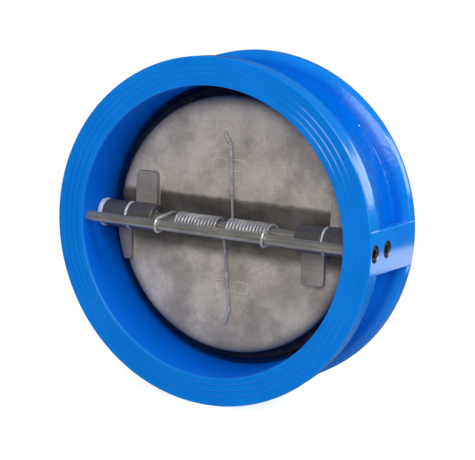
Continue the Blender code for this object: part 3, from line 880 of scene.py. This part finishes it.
def make_seat(material):
    """Moulded seat: a ring with a raised sealing lip, and the bar that lies on the web."""
    front, back = (depth - HALF_LENGTH for depth in SEAT_DEPTHS)
    inner, outer = SEAT_RADII
    lip = SEAT_LIP_RADIUS
    profile = rounded(
        [
            (inner, back), (inner, front + 0.4 * MM), (lip - 2 * MM, front + 0.5 * MM),
            (lip, front), (lip + 2 * MM, front + 0.5 * MM), (outer, front + 0.5 * MM), (outer, back),
        ],
        (0.5 * MM, 0.5 * MM, 0.4 * MM, 0.7 * MM, 0.4 * MM, 0.8 * MM, 0.5 * MM),
    )
    seat = turned("seat_rubber_look", profile, "Y", material, steps=240)
    half = SEAT_BAR_HALF_HEIGHT
    bar_outline = rounded(
        [
            (back - GAP / 2, -half), (back - GAP / 2, half), (front + 0.7 * MM, half),
            (front + 0.4 * MM, half - 2.5 * MM), (front + 0.4 * MM, 2.5 * MM - half),
            (front + 0.7 * MM, -half),
        ],
        (0.5 * MM, 0.5 * MM, 0.6 * MM, 0.8 * MM, 0.8 * MM, 0.6 * MM),
    )
    bar = prism("bar", bar_outline, -SEAT_BAR_HALF_LENGTH, SEAT_BAR_HALF_LENGTH, material)
    combine(seat, bar, "UNION")
    shade(seat.data, 40)
    stand_for(seat, "seat_rubber")


# ---- plates ----

def make_half_disc(material):
    """Half disc with a rounded rim and a sloping strip along its straight edge."""
    profile = rounded(
        [
            (0.0, PLATE_FACE_BACK), (PLATE_RADIUS, PLATE_FACE_BACK),
            (PLATE_RADIUS, PLATE_SEAT_BACK), (0.0, PLATE_SEAT_BACK),
        ],
        (0, 4.5 * MM, 1 * MM, 0), steps=8, closed=False,
    )
    disc = turned("plate", profile, "Y", material, steps=240, closed=False)
    slope = (STRIP_OUT - PLATE_EDGE_OUT) / (PLATE_EDGE_BACK - PLATE_FACE_BACK)
    margin = 5 * MM
    far = PLATE_RADIUS + margin
    outline = [
        (PLATE_SEAT_BACK + margin, PLATE_EDGE_OUT),
        (PLATE_EDGE_BACK, PLATE_EDGE_OUT),
        (PLATE_FACE_BACK - margin, STRIP_OUT + slope * margin),
        (PLATE_FACE_BACK - margin, -far),
        (PLATE_SEAT_BACK + margin, -far),
    ]
    combine(disc, prism("strip", outline, -far, far, material), "DIFFERENCE")
    return disc


def make_pad(x_low, x_high, material):
    """Stop pad that carries a knuckle, with rounded outer corners and a foot that flares out."""
    middle, half = (x_low + x_high) / 2, (x_high - x_low) / 2
    face = rounded(
        [
            (middle - half, PLATE_EDGE_OUT), (middle - half, PAD_OUT),
            (middle + half, PAD_OUT), (middle + half, PLATE_EDGE_OUT),
        ],
        (0, 4 * MM, 4 * MM, 0), steps=6,
    )
    root = PLATE_SEAT_BACK - 1.5 * MM
    levels = (
        (PAD_BACK, 0.0), (PAD_BACK + 3 * MM, 0.15), (PLATE_FACE_BACK - 1 * MM, 0.4),
        (PLATE_FACE_BACK + 1.5 * MM, 1.0), (root, 1.0),
    )
    points = []
    for back, share in levels:
        inside = min(1.0, max(0.0, (root - back) / (PLATE_EDGE_BACK - PLATE_FACE_BACK)))
        limit = STRIP_OUT + (PAD_OUT + PAD_FLARE - STRIP_OUT) * inside
        wider = 1 + share * PAD_FLARE / half
        for x, out in face:
            lowered = out if out < STRIP_OUT else out + share * PAD_FLARE * 0.5
            points.append((middle + (x - middle) * wider, back, min(lowered, limit)))
    pad = object_from("pad", points, loft_faces(len(levels), len(face)), material)
    trim_profile = [(0.0, -5 * MM), (PAD_TRIM_RADIUS, -5 * MM), (PAD_TRIM_RADIUS, 25 * MM), (0.0, 25 * MM)]
    trim = turned("trim", trim_profile, "Y", material, steps=240, closed=False)
    combine(pad, trim, "INTERSECT")
    return pad


def barrel_profile(span, radius, edge):
    """Half section of a solid barrel between two X stations."""
    low, high = span
    corners = [(0.0, low), (radius, low), (radius, high), (0.0, high)]
    return rounded(corners, (0, edge, edge, 0), closed=False)


def make_ridge(middle_x, width, material):
    """A blank raised frame on the plate's face, as cast."""
    left, right = middle_x - width / 2, middle_x + width / 2
    low, high = CAST_FRAME_OUT - CAST_FRAME_HEIGHT / 2, CAST_FRAME_OUT + CAST_FRAME_HEIGHT / 2
    corners = [(left, low), (right, low), (right, high), (left, high)]
    path = [(x, PLATE_FACE_BACK, out) for x, out in rounded(corners, (2.6 * MM,) * 4, steps=8)]
    points, faces = tube(path, [RIDGE_RADIUS] * len(path), 8, closed=True)
    return object_from("ridge", points, faces, material)


def make_plate(material):
    """One plate about the hinge axis: inner knuckle on the left, outer knuckle on the right."""
    plate = make_half_disc(material)
    inner = tuple(-x for x in reversed(INNER_KNUCKLE))
    inner_pad = tuple(-x for x in reversed(INNER_PAD))
    parts = []
    for knuckle, pad in ((inner, inner_pad), (OUTER_KNUCKLE, OUTER_KNUCKLE)):
        parts.append(make_pad(*pad, material))
        barrel = barrel_profile(knuckle, BARREL_RADIUS, 0.8 * MM)
        parts.append(turned("barrel", barrel, "X", material, closed=False))
    join(plate, parts)
    remesh = plate.modifiers.new("remesh", "REMESH")
    remesh.mode = "VOXEL"
    remesh.voxel_size = PLATE_VOXEL * 1
    soften = plate.modifiers.new("soften", "SMOOTH")
    soften.factor = 0.5
    soften.iterations = 3
    apply_modifiers(plate)
    for vertex in plate.data.vertices:
        x, back, out = vertex.co
        if back < PLATE_SEAT_BACK - 2 * MM and math.hypot(back, out) > BARREL_RADIUS + 1 * MM:
            vertex.co.y += lumps(Vector((x, back, out)), PLATE_LUMPS)
    past = 130 * MM
    bore_profile = [(0.0, -past), (KNUCKLE_BORE_RADIUS, -past), (KNUCKLE_BORE_RADIUS, past), (0.0, past)]
    combine(plate, turned("bore", bore_profile, "X", material, closed=False), "DIFFERENCE")
    for middle, width in CAST_FRAMES:
        combine(plate, make_ridge(middle, width, material), "UNION")
    plate.data.materials.clear()
    plate.data.materials.append(material)
    shade(plate.data, 50)
    return plate


def make_plates(material):
    """Both plates. The lower one is the same casting after half a turn about the pipe axis."""
    upper = make_plate(material)
    upper.name = "upper_plate_look"
    lower = add_object("lower_plate_look", upper.data.copy())
    upper.data.transform(Matrix.Translation((0.0, HINGE_Y, 0.0)))
    lower.data.transform(Matrix.Translation((0.0, HINGE_Y, 0.0)) @ Matrix.Rotation(math.pi, 4, "Y"))
    stand_for(upper, "upper_plate")
    stand_for(lower, "lower_plate")


# ---- springs ----

def coil_and_hook(side):
    """Centreline of the coil and of the short leg that hooks round the stop pin."""
    total = COIL_TURNS + LEAD_TURNS
    count = round(total * COIL_POINTS_PER_TURN)
    start, end = COIL_SPAN
    points = []
    for i in range(count + 1):
        turns = total * i / count
        x = start + (end - start) * min(turns / COIL_TURNS, 1.0)
        if turns > COIL_TURNS:
            lead = (turns - COIL_TURNS) / LEAD_TURNS
            x = end + (HOOK_X - end) * lead * lead * (3 - 2 * lead)
        angle = -2 * math.pi * turns
        points.append(Vector((x, COIL_RADIUS * math.cos(angle), COIL_RADIUS * math.sin(angle))))
    stop = STOP_Y - HINGE_Y
    hook_start = Vector((HOOK_X, stop, -HOOK_RADIUS))
    bend = smooth_path([points[-1], (points[-1] + hook_start) / 2, hook_start], PATH_SPACING)
    points += bend[1:]
    for i in range(1, HOOK_POINTS + 1):
        angle = -math.pi / 2 - math.pi * i / HOOK_POINTS
        points.append(Vector((HOOK_X, stop + HOOK_RADIUS * math.cos(angle), HOOK_RADIUS * math.sin(angle))))
    points.append(points[-1] + Vector((0.0, HOOK_TAIL, 0.0)))
    half_turn = Vector((side, 1.0, side))
    return [point * half_turn + Vector((SPRING_OFFSET_X, 0.0, 0.0)) for point in points]


def make_spring(node, leg, side, material):
    """A torsion spring. Its long leg lies along the plate and its hook wraps round the stop pin."""
    wound = coil_and_hook(side)
    leg_corners = [Vector((x, back, side * out)) for x, back, out in reversed(leg)]
    points = smooth_path(leg_corners + [wound[0]], PATH_SPACING) + wound[1:]
    points = [point + Vector((0.0, HINGE_Y, 0.0)) for point in points]
    path, radii = round_ended(points, WIRE_RADIUS)
    ring_points, faces = tube(path, radii, WIRE_SIDES)
    spring = object_from(f"{node}_look", ring_points, faces, material, smooth_angle=60.0)
    stand_for(spring, node, ride=False)
    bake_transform(spring)


# ---- pins, washers, bushes and plugs ----

def make_pin(node, radius, pin_y, material):
    """A ground pin with rounded ends."""
    end = PIN_END
    stations = np.linspace(-end + 3 * MM, end - 3 * MM, 60)
    middle = [(radius, x) for x in stations]
    corners = [(0.0, -end), (radius, -end)] + middle + [(radius, end), (0.0, end)]
    profile = rounded(corners, (0, 1 * MM) + (0,) * len(stations) + (1 * MM, 0), closed=False)
    pin = turned(f"{node}_look", profile, "X", material, centre=(0.0, pin_y, 0.0), closed=False)
    stand_for(pin, node)


def make_ring(node, side, span, radii, edge, material):
    """A washer or bush on the hinge pin, with softly broken edges."""
    low, high = span
    inner, outer = radii
    corners = [(inner, low), (outer, low), (outer, high), (inner, high)]
    profile = [(radius, side * x) for radius, x in rounded(corners, (edge / 2, edge, edge, edge / 2))]
    ring = turned(f"{node}_look", profile, "X", material, centre=(0.0, HINGE_Y, 0.0), steps=120)
    for vertex in ring.data.vertices:
        away = Vector((0.0, vertex.co.y - HINGE_Y, vertex.co.z))
        if away.length > (inner + outer) / 2:
            vertex.co -= away.normalized() * (0.06 * MM + lumps(vertex.co, ((0.08 * MM, 2.5 * MM),)))
    stand_for(ring, node)


def make_plug(node, side, pin_y, material):
    """A grub screw: rings for its thread, a chamfered face and a hexagon socket."""
    low, high = PLUG_SPAN
    radius = PLUG_RADIUS
    corners = [(0.0, low), (radius - 0.6 * MM, low), (radius, low + 0.6 * MM)]
    turns = int((high - low - 1.6 * MM) / THREAD_PITCH)
    for k in range(turns):
        start = low + 0.7 * MM + k * THREAD_PITCH
        corners += [(radius, start), (radius - THREAD_DEPTH, start + THREAD_PITCH / 2)]
    corners += [(radius, high - 1.0 * MM), (radius - 1.0 * MM, high), (4.2 * MM, high), (0.0, high)]
    profile = rounded(corners, [0] * (len(corners) - 4) + [0.15 * MM, 0.25 * MM, 0, 0], closed=False)
    plug = turned(f"{node}_look", profile, "X", material, closed=False)
    socket_radius = SOCKET_ACROSS_FLATS / 2 / math.cos(math.pi / 6)
    socket_profile = [
        (0.0, high - 5.6 * MM), (socket_radius * 0.9, high - 4.4 * MM), (socket_radius, high - 4.4 * MM),
        (socket_radius, high + 1 * MM), (0.0, high + 1 * MM),
    ]
    combine(plug, turned("socket", socket_profile, "X", material, steps=6, closed=False), "DIFFERENCE")
    mouth_profile = [
        (0.0, high - 0.4 * MM), (2.9 * MM, high - 0.4 * MM),
        (3.9 * MM, high + 0.1 * MM), (0.0, high + 0.1 * MM),
    ]
    combine(plug, turned("mouth", mouth_profile, "X", material, closed=False), "DIFFERENCE")
    if side < 0:
        plug.data.transform(Matrix.Rotation(math.pi, 4, "Z"))
    plug.data.transform(Matrix.Translation((0.0, pin_y, 0.0)))
    shade(plug.data, 30)
    stand_for(plug, node)


def make_pin_hardware(white, steel, fibre):
    """Washers, bushes, plugs and seals on both sides."""
    thin_span = (INNER_KNUCKLE[1] + GAP, OUTER_KNUCKLE[0] - GAP)
    thrust_span = (OUTER_KNUCKLE[1] + GAP, THRUST_WASHER_END)
    bore = BUSH_RADII[0]
    for side, name in ((-1, "left"), (1, "right")):
        inner_owner, outer_owner = ("upper", "lower") if side < 0 else ("lower", "upper")
        make_ring(f"{inner_owner}_plate_inner_bush", side, INNER_BUSH, BUSH_RADII, 0.3 * MM, white)
        make_ring(f"{outer_owner}_plate_outer_bush", side, OUTER_KNUCKLE, BUSH_RADII, 0.3 * MM, white)
        make_ring(f"knuckle_washer_{name}", side, thin_span, (bore, THIN_WASHER_RADIUS), 0.4 * MM, white)
        make_ring(f"thrust_washer_{name}", side, thrust_span, (bore, THRUST_WASHER_RADIUS), 0.8 * MM, white)
        for pin, pin_y in (("hinge", HINGE_Y), ("stop", STOP_Y)):
            make_plug(f"{pin}_plug_{name}", side, pin_y, steel)
            seal = frame["nodes"][f"{pin}_plug_seal_{name}"]
            seal.data.materials.clear()
            seal.data.materials.append(fibre)


# ---- surroundings ----

def make_camera():
    """A long lens a little above the pipe axis and to its right."""
    data = bpy.data.cameras.new("camera")
    data.sensor_width = 36
    data.lens = CAMERA_LENS
    camera = add_object("camera", data)
    level = math.cos(CAMERA_ELEVATION)
    back = Vector((
        math.sin(CAMERA_AZIMUTH) * level, -math.cos(CAMERA_AZIMUTH) * level, math.sin(CAMERA_ELEVATION)
    ))
    right = Vector((0.0, 0.0, 1.0)).cross(back).normalized()
    turn = Matrix((right, back.cross(right), back)).transposed() @ Matrix.Rotation(CAMERA_ROLL, 3, "Z")
    camera.matrix_world = Matrix.Translation(CAMERA_TARGET + back * CAMERA_DISTANCE) @ turn.to_4x4()
    bpy.context.scene.camera = camera


def make_light(name, place, size, power, target=(0.0, 0.0, 0.0), only_reflected=False):
    """A soft rectangular light that the camera doesn't see. It may show in reflections only."""
    data = bpy.data.lights.new(name, "AREA")
    data.shape = "RECTANGLE"
    data.size, data.size_y = size
    data.energy = power
    light = add_object(name, data)
    light.location = place
    aim = Vector(target) - Vector(place)
    light.rotation_euler = aim.to_track_quat("-Z", "Y").to_euler()
    light.visible_camera = False
    light.visible_diffuse = not only_reflected


def make_world():
    """White behind the valve. It is lit evenly from above, and less from below and in reflections."""
    world = bpy.data.worlds.new("studio")
    bpy.context.scene.world = world
    world.use_nodes = True
    tree = world.node_tree
    path = add_node(tree, "LightPath")
    direction = add_node(tree, "TexCoord").outputs["Generated"]
    height = add_node(tree, "SeparateXYZ", {0: direction}).outputs["Z"]
    upward = remap(tree, height, -0.5, 0.6)
    even = mix_colour(tree, upward, (0.41, 0.44, 0.54, 1.0), (0.62, 0.63, 0.66, 1.0))
    dim = mix_colour(tree, upward, (0.03, 0.03, 0.035, 1.0), (0.08, 0.085, 0.09, 1.0))
    table = remap(tree, height, -0.35, -0.6)
    dim = mix_colour(tree, table, dim, (0.46, 0.48, 0.52, 1.0))
    unseen = mix_colour(tree, path.outputs["Is Glossy Ray"], even, dim)
    colour = mix_colour(tree, path.outputs["Is Camera Ray"], unseen, (1.0, 1.0, 1.0, 1.0))
    tree.links.new(colour, tree.nodes["Background"].inputs["Color"])


def make_floor(material):
    """A round table top that the valve stands on."""
    bm = bmesh.new()
    bmesh.ops.create_circle(bm, cap_ends=True, segments=96, radius=FLOOR_RADIUS)
    mesh = bpy.data.meshes.new("floor")
    bm.to_mesh(mesh)
    bm.free()
    mesh.materials.append(material)
    floor = add_object("floor", mesh)
    floor.location.z = -OUTER_RADIUS
    floor.visible_glossy = False
    floor.visible_diffuse = False


def make_studio():
    """Camera, lights, surroundings and floor."""
    make_camera()
    make_world()
    make_floor(pale_floor())
    make_light("key", KEY_PLACE, (0.6, 0.6), 9)
    make_light("spark", KEY_PLACE, (0.25, 0.25), 32, only_reflected=True)
    make_light("side", (1.5, 0.35, 0.3), (0.6, 0.6), 4)
    make_light("front", (0.5, -1.35, 0.7), (0.7, 0.6), 7.6)
    make_light("rear_panel", (0.55, 1.33, 0.28), (0.55, 0.4), 2.0, only_reflected=True)
    make_light("table_panel", TABLE_PLACE, (0.34, 0.22), 0.45, ABOVE_TABLE, only_reflected=True)
    bpy.context.scene.view_settings.view_transform = "Standard"


def main():
    """Build every piece and the studio."""
    make_studio()
    # Bare steel in the pin holes, darkened almost to black as painted shade in their mouths.
    unpainted_shaded_steel = ("unpainted_shaded_hole", (0.05, 0.05, 0.06, 1.0), (0.12, 0.12, 0.13, 1.0), 0.5, 1 * MM)
    make_body(blue_paint(), drawn_steel(*unpainted_shaded_steel))
    make_seat(seat_rubber())
    make_plates(cast_steel())
    pin_steel = drawn_steel(
        "pin_steel", (0.43, 0.40, 0.345, 1.0), (0.58, 0.54, 0.46, 1.0), 0.42, 0.6 * MM, metallic=0.8
    )
    make_pin("hinge_pin", HINGE_PIN_RADIUS, HINGE_Y, pin_steel)
    make_pin("stop_pin", STOP_PIN_RADIUS, STOP_Y, pin_steel)
    wire = drawn_steel(
        "spring_wire", (0.47, 0.46, 0.45, 1.0), (0.77, 0.76, 0.74, 1.0), 0.36, 1.2 * MM, metallic=0.45
    )
    make_spring("upper_plate_spring", UPPER_LEG, 1, wire)
    make_spring("lower_plate_spring", LOWER_LEG, -1, wire)
    make_pin_hardware(soft_white(), black_oxide(), red_fibre())


main()
